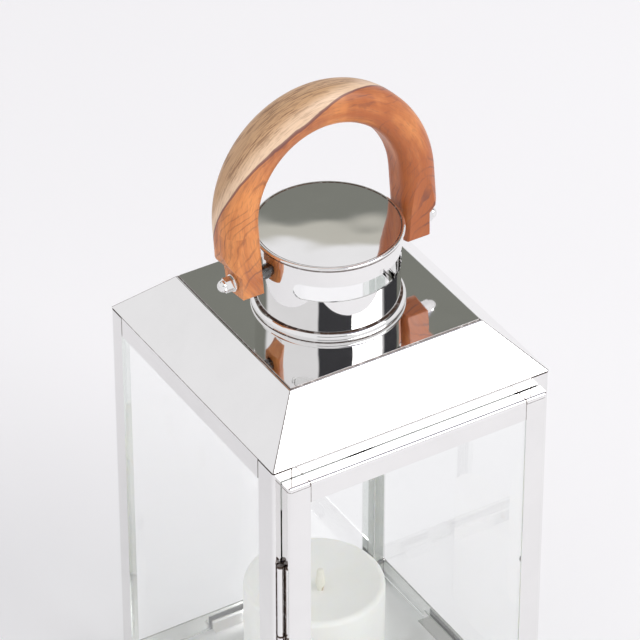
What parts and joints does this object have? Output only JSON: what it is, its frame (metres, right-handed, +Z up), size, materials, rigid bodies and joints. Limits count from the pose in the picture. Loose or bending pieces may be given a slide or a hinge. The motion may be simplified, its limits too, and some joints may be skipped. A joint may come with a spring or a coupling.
{
  "type": "candle lantern",
  "caption": "Square lantern of polished steel and glass with a hinged door, a hipped roof, a slotted round chimney, a swinging wooden hoop handle and a loose pillar candle.",
  "frame": {"origin": "the middle of the bounding box on the floor, with the door shut and the handle as it stands; the case is centred 5 mm behind it", "axes": "+Z up, -Y out through the door, +X along the door from its hinge to its free edge"},
  "size_m": [0.21, 0.22, 0.506],
  "materials": {
    "case_steel": "mirror-polished stainless steel sheet",
    "roof_steel": "mirror-polished stainless steel sheet",
    "chimney_steel": "mirror-polished stainless steel, rolled and spun",
    "door_steel": "mirror-polished stainless steel sheet",
    "bolt_steel": "polished stainless steel fasteners",
    "hinge_steel": "polished stainless steel hinge",
    "clip_steel": "folded stainless steel clips",
    "catch_steel": "folded stainless steel",
    "catch_magnet": "dark grey ferrite",
    "foot_rubber": "black rubber",
    "pane_glass": "clear float glass with green edges",
    "handle_wood": "oiled hardwood with pale sapwood at the outside",
    "candle_wax": "ivory wax",
    "candle_wick": "waxed cotton"
  },
  "bodies": {
    "lantern": {"base_pan": "case_steel", "post_front_left": "case_steel", "foot_front_left": "foot_rubber", "post_front_right": "case_steel", "foot_front_right": "foot_rubber", "post_back_left": "case_steel", "foot_back_left": "foot_rubber", "post_back_right": "case_steel", "foot_back_right": "foot_rubber", "rail_bottom_front": "case_steel", "rail_top_front": "case_steel", "rail_bottom_back": "case_steel", "rail_top_back": "case_steel", "rail_bottom_left": "case_steel", "rail_top_left": "case_steel", "rail_bottom_right": "case_steel", "rail_top_right": "case_steel", "glass_left": "pane_glass", "glass_right": "pane_glass", "glass_back": "pane_glass", "pane_clips_left": "clip_steel", "pane_clips_right": "clip_steel", "pane_clips_back": "clip_steel", "roof_shell": "roof_steel", "roof_top_plate": "roof_steel", "chimney_wall": "chimney_steel", "chimney_foot_ring": "chimney_steel", "chimney_cap": "chimney_steel", "pivot_bolt_left": "bolt_steel", "pivot_spacer_left": "bolt_steel", "pivot_washer_left": "bolt_steel", "acorn_nut_left": "bolt_steel", "pivot_bolt_right": "bolt_steel", "pivot_spacer_right": "bolt_steel", "pivot_washer_right": "bolt_steel", "acorn_nut_right": "bolt_steel", "hinge_leaf_frame": "hinge_steel", "hinge_pin": "hinge_steel"},
    "door": {"door_stile_hinge": "door_steel", "door_stile_latch": "door_steel", "door_rail_top": "door_steel", "door_rail_bottom": "door_steel", "door_glass": "pane_glass", "door_glass_clips": "clip_steel", "hinge_leaf_door": "hinge_steel", "catch_bracket": "catch_steel", "catch_magnet": "catch_magnet"},
    "handle": {"handle_hoop": "handle_wood"},
    "candle": {"candle_body": "candle_wax", "candle_wick": "candle_wick"}
  },
  "joints": [
    {"name": "door_hinge", "type": "hinge", "parent": "lantern", "child": "door", "pos_m": [-0.1015, -0.1025, 0.152], "axis": [0, 0, -1], "range_deg": [0, 150]},
    {"name": "handle_swing", "type": "hinge", "parent": "lantern", "child": "handle", "pos_m": [0, 0.005, 0.3872], "axis": [1, 0, 0], "range_deg": [-98, 113]},
    {"name": "candle_lift", "type": "slide", "parent": "lantern", "child": "candle", "axis": [0, 0, 1], "range_m": [0, 0.15]}
  ]
}
